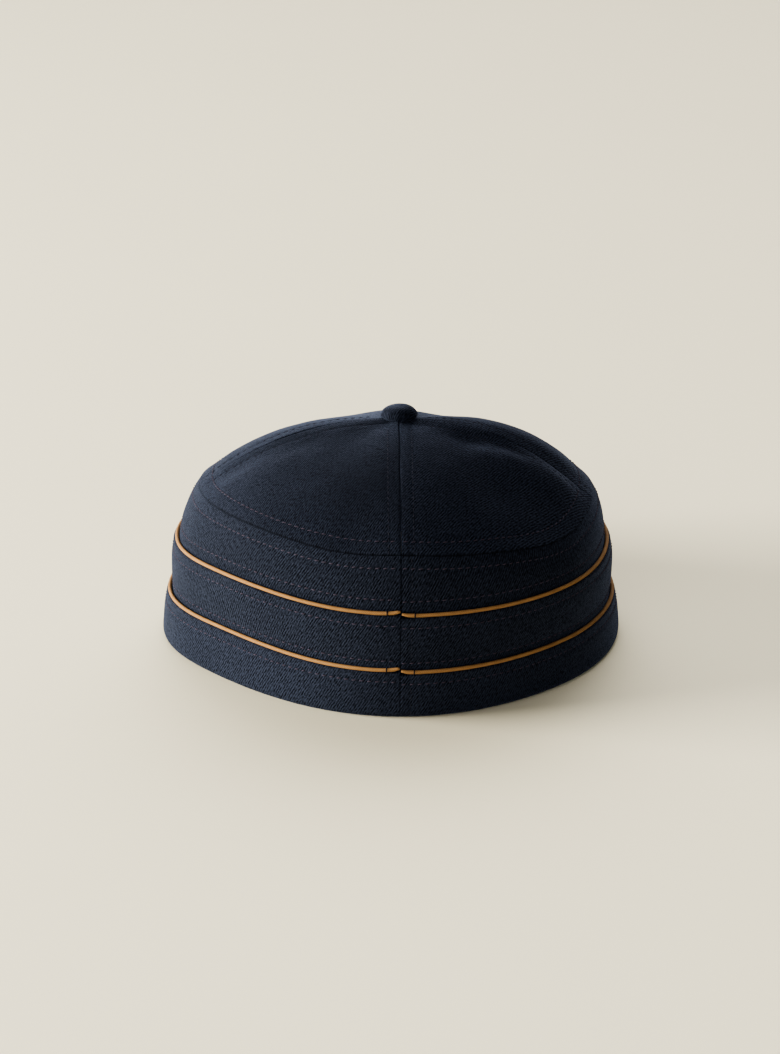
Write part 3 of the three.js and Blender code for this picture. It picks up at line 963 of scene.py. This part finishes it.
class CAP_OT_button(bpy.types.Operator):
    """Make the covered button"""

    bl_idname = "cap.button"
    bl_label = "Button"

    def execute(self, context):
        low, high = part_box("button")
        radius, height = (high[0] - low[0]) / 2, high[2] - low[2]
        profile = button_profile(radius, height)
        turn = np.linspace(0, math.tau, BUTTON_COLUMNS + 1)
        from_top = run_length(profile[::-1])[::-1]
        points, uv = [], []
        for a in turn:
            stray = BUTTON_FOLDS["stray"] * math.sin(BUTTON_FOLDS["strays"] * a)
            fold = BUTTON_FOLDS["size"] * math.sin(BUTTON_FOLDS["count"] * a + stray)
            lean = BUTTON_LEAN["size"] * height * math.sin(BUTTON_LEAN["count"] * a + BUTTON_LEAN["turn"])
            across = np.array([math.sin(a), math.cos(a)])
            for (size, rise), spread in zip(profile, from_top):
                size *= 1 + fold * (size / radius) ** BUTTON_FOLDS["edge"]
                points.append((*(APEX[:2] + size * across), low[2] + rise + lean * size / radius))
                uv.append(spread * across)
        index = np.arange(len(points)).reshape(-1, len(profile))
        faces = quads(index[:-1, :-1], index[:-1, 1:], index[1:, 1:], index[1:, :-1])
        piece = mesh_object("button_cover", np.array(points), faces, twill_material(), np.array(uv))
        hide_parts("button")
        return {"FINISHED"}


# Peak


PEAK_ROWS_FINER = 1.5  # rows to a step of the mesh
PEAK_CALM = 0.4  # share of the cloth's unevenness that the stiff peak has
PEAK_ROLL = {"top": 1.6, "under": 1.2}  # rounding of its edge as shares of the cloth's
PEAK_STITCHED = 1.3  # depth of the peak where its stitching starts, as a share of the way in to the line


def peak_controls():
    """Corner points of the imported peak, on its top and its underside, by column and by row from its edge."""
    points = corners("peak")
    turn = np.arctan2(CENTRE[0] - points[:, 0], points[:, 1] - CENTRE[1]) % math.tau
    top, under = [], []
    for column in points[np.argsort(turn)].reshape(PEAK_COLUMNS, -1, 3):
        pairs = column[np.argsort(-reach(column))].reshape(-1, 2, 3)
        order = np.argsort(pairs[:, :, 2], axis=1)
        pairs = np.take_along_axis(pairs, order[:, :, None], axis=1)
        under.append(pairs[:, 0])
        top.append(pairs[:, 1])
    return np.array(top), np.array(under)


class CAP_OT_peak(bpy.types.Operator):
    """Make the stiff peak at the front, with a line of topstitching along its edge"""

    bl_idname = "cap.peak"
    bl_label = "Peak"

    def execute(self, context):
        cloth, stitch = context.scene.cap_cloth, context.scene.cap_stitch
        top, under = peak_controls()
        run = run_length(top[:, 0])
        rows = np.mean([run_length(column) for column in top], axis=0)
        across = np.linspace(0, run[-1], round(run[-1] / cloth.step) + 1)
        inward = np.linspace(0, rows[-1], round(rows[-1] / cloth.step * PEAK_ROWS_FINER) + 1)
        top, under = (smooth_grid(face, run, across, rows, inward) for face in (top, under))
        from_edge = np.array([run_length(column) for column in top])
        sideways = np.minimum(across, run[-1] - across)[:, None]
        heights = unevenness(top, cloth, SEEDS["peak"]) * PEAK_CALM
        heights += rolled(from_edge, cloth.roll * PEAK_ROLL["top"]) + rolled(sideways, cloth.roll)
        heights += dip(from_edge - stitch.seam_away, stitch.groove, stitch.groove_width)
        normals = grid_normals(top)
        outer = top + normals * heights[:, :, None]
        lifted = rolled(from_edge, cloth.roll * PEAK_ROLL["under"])[:, :, None]
        inner = under - normals * lifted * np.array([0, 0, 1])
        uv = np.stack(np.broadcast_arrays(across[:, None], from_edge), axis=-1)
        even = np.zeros(from_edge.shape)
        piece = sheet_object("peak_cloth", outer, inner, uv, even, "peak", twill_material())
        deep = from_edge[:, -1] > stitch.seam_away * PEAK_STITCHED
        line = level_path(outer[deep], normals[deep], from_edge[deep], stitch.seam_away, False)
        stitch_object("peak_stitches", [line], stitch, SEEDS["peak_stitches"])
        return {"FINISHED"}


# Stage


FLOOR_HALF = 8.0  # half the width of the floor, in metres
LAMP_SIZE = (1.5, 0.9)  # metres
LAMP_AIM = Vector((0, 0, 0.04))
LAMP_COLOUR = (1.0, 0.955, 0.885)
ROOM_COLOUR = (1.0, 0.98, 1.0, 1.0)
# Directions that the room light comes from
NEAR_FROM = (0.22, 0.95, 0.14)
FAR_FROM = (0.0, -0.87, 0.49)
ROOM_FOCUS = 8.0  # how quickly the room light falls off beside its direction


class CAP_OT_stage(bpy.types.Operator):
    """Set the floor, the soft light and the camera"""

    bl_idname = "cap.stage"
    bl_label = "Stage"

    def execute(self, context):
        stage = context.scene.cap_stage
        mesh = bpy.data.meshes.new("floor")
        signs = ((-1, -1), (1, -1), (1, 1), (-1, 1))
        mesh.from_pydata([(x * FLOOR_HALF, y * FLOOR_HALF, 0) for x, y in signs], [], [(0, 1, 2, 3)])
        mesh.materials.append(floor_material())
        floor = bpy.data.objects.new("floor", mesh)
        context.scene.collection.objects.link(floor)
        lamp = bpy.data.lights.new("soft_left", "AREA")
        lamp.shape = "RECTANGLE"
        lamp.size, lamp.size_y = LAMP_SIZE
        lamp.energy = stage.lamp
        lamp.color = LAMP_COLOUR
        self.aimed(context, "soft_left", lamp, Vector(stage.lamp_place), LAMP_AIM)
        self.sky(context, stage)
        camera = bpy.data.cameras.new("camera")
        camera.lens = stage.lens
        context.scene.camera = self.aimed(context, "camera", camera, Vector(stage.eye), Vector(stage.aim))
        context.scene.view_settings.view_transform = "AgX"
        context.scene.view_settings.look = "AgX - High Contrast"
        return {"FINISHED"}

    def aimed(self, context, name, data, stand, aim):
        """A lamp or a camera that stands at one point and is turned to another."""
        made = bpy.data.objects.new(name, data)
        made.location = stand
        made.rotation_euler = (aim - stand).to_track_quat("-Z", "Y").to_euler()
        context.scene.collection.objects.link(made)
        return made

    def sky(self, context, stage):
        """Dim room light: one soft patch from the camera's side and one from behind the cap."""
        world = bpy.data.worlds.new("room")
        context.scene.world = world
        world.use_nodes = True
        tree = world.node_tree
        tree.nodes.clear()
        spot = tree.nodes.new("ShaderNodeTexCoord").outputs["Generated"]
        strength = 0.0
        for direction, peak in ((NEAR_FROM, stage.near), (FAR_FROM, stage.far)):
            towards = tree.nodes.new("ShaderNodeVectorMath")
            towards.operation = "DOT_PRODUCT"
            feed(tree, towards.inputs[0], spot)
            feed(tree, towards.inputs[1], Vector(direction).normalized())
            facing = math_node(tree, "MAXIMUM", towards.outputs["Value"], 0.0)
            patch = math_node(tree, "MULTIPLY", math_node(tree, "POWER", facing, ROOM_FOCUS), peak)
            strength = math_node(tree, "ADD", patch, strength)
        back = add_node(tree, "ShaderNodeBackground", Color=ROOM_COLOUR, Strength=strength)
        output = tree.nodes.new("ShaderNodeOutputWorld")
        tree.links.new(back.outputs[0], output.inputs[0])


OPERATORS = (CAP_OT_strips, CAP_OT_piping, CAP_OT_tip, CAP_OT_button, CAP_OT_peak, CAP_OT_stage)


class CAP_PT_panel(bpy.types.Panel):
    """The cap's sizes, colours and pieces"""

    bl_idname = "CAP_PT_panel"
    bl_label = "Painter cap"
    bl_space_type = "VIEW_3D"
    bl_region_type = "UI"
    bl_category = "Cap"

    def draw(self, context):
        for group in GROUPS:
            box = self.layout.box()
            for name in GROUPS[group].__annotations__:
                box.prop(getattr(context.scene, group), name)
        for operator in OPERATORS:
            self.layout.operator(operator.bl_idname)


GROUPS = {"cap_cloth": CapCloth, "cap_stitch": CapStitch, "cap_colours": CapColours, "cap_stage": CapStage}


def register():
    """Add the cap's classes and properties."""
    for made in (*GROUPS.values(), *OPERATORS, CAP_PT_panel):
        bpy.utils.register_class(made)
    for name, group in GROUPS.items():
        setattr(bpy.types.Scene, name, bpy.props.PointerProperty(type=group))


def unregister():
    """Remove the cap's classes and properties."""
    for name in GROUPS:
        delattr(bpy.types.Scene, name)
    for made in (CAP_PT_panel, *reversed(OPERATORS), *reversed(GROUPS.values())):
        bpy.utils.unregister_class(made)


def main():
    """Build the whole scene."""
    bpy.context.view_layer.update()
    register()
    bpy.ops.cap.strips()
    bpy.ops.cap.piping()
    bpy.ops.cap.tip()
    bpy.ops.cap.button()
    bpy.ops.cap.peak()
    bpy.ops.cap.stage()
    bpy.context.view_layer.update()


if __name__ == "__main__":
    main()
